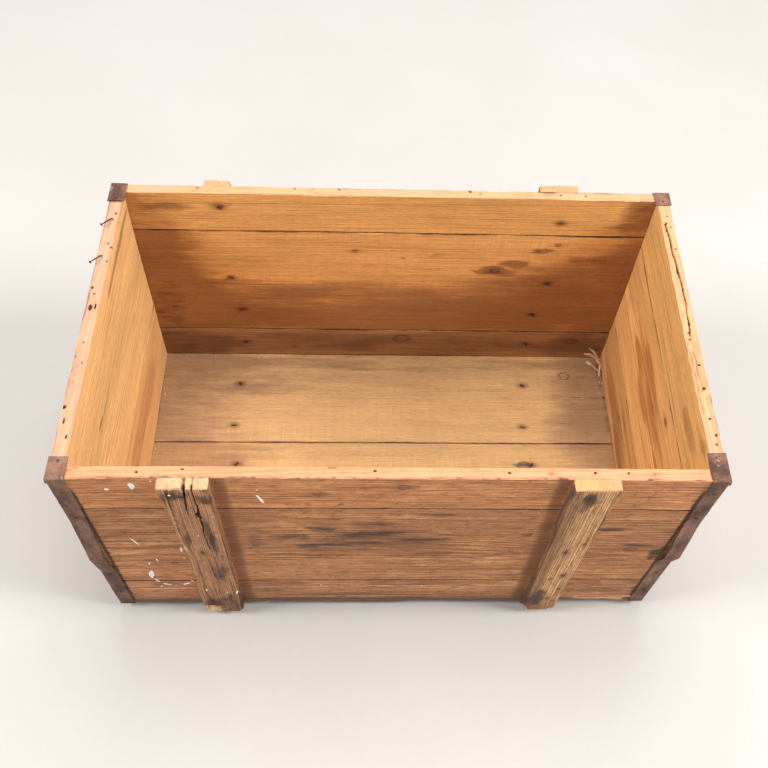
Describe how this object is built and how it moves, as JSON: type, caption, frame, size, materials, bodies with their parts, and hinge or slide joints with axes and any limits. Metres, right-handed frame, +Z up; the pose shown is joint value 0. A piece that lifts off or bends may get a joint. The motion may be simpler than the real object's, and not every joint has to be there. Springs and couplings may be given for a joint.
{
  "type": "shipping crate",
  "caption": "Open rectangular nailed softwood shipping crate with vertical battens, sheet iron corner angles and skids; goods go in from above.",
  "frame": {"origin": "on the ground, under the middle of the crate", "axes": "+Z up, +X along the crate's length, -Y out of the front wall"},
  "size_m": [0.9134, 0.558, 0.4862],
  "materials": {
    "front_wood": "weathered brown softwood, stained, dirty and scuffed",
    "back_wood": "aged honey-brown softwood, bare and dry",
    "end_wood": "aged honey softwood, bare and dry",
    "floor_wood": "dusty tan softwood, worn",
    "batten_wood": "weathered grey-brown softwood with raised grain and splits",
    "skid_wood": "dirty grey-brown softwood, rough sawn",
    "corner_iron": "rusty purple-brown sheet iron, rough",
    "nail_steel": "rusty wire nail steel, rough"
  },
  "bodies": {
    "root": {"back_batten_left": "batten_wood", "back_batten_left_nails": "nail_steel", "back_batten_right": "batten_wood", "back_batten_right_nails": "nail_steel", "back_board_bottom": "back_wood", "back_board_middle": "back_wood", "back_board_top": "back_wood", "back_wall_nails": "nail_steel", "bent_lid_nails": "nail_steel", "corner_iron_back_left": "corner_iron", "corner_iron_back_left_nails": "nail_steel", "corner_iron_back_right": "corner_iron", "corner_iron_back_right_nails": "nail_steel", "corner_iron_front_left": "corner_iron", "corner_iron_front_left_nails": "nail_steel", "corner_iron_front_right": "corner_iron", "corner_iron_front_right_nails": "nail_steel", "floor_board_back": "floor_wood", "floor_board_front": "floor_wood", "floor_board_middle": "floor_wood", "floor_nails": "nail_steel", "front_batten_left": "batten_wood", "front_batten_left_nails": "nail_steel", "front_batten_right": "batten_wood", "front_batten_right_nails": "nail_steel", "front_board_bottom": "front_wood", "front_board_middle": "front_wood", "front_board_top": "front_wood", "front_wall_nails": "nail_steel", "left_end_board_bottom": "end_wood", "left_end_board_top": "end_wood", "right_end_board_bottom": "end_wood", "right_end_board_middle": "end_wood", "right_end_board_top": "end_wood", "skid_left": "skid_wood", "skid_left_nails": "nail_steel", "skid_right": "skid_wood", "skid_right_nails": "nail_steel"}
  },
  "joints": []
}
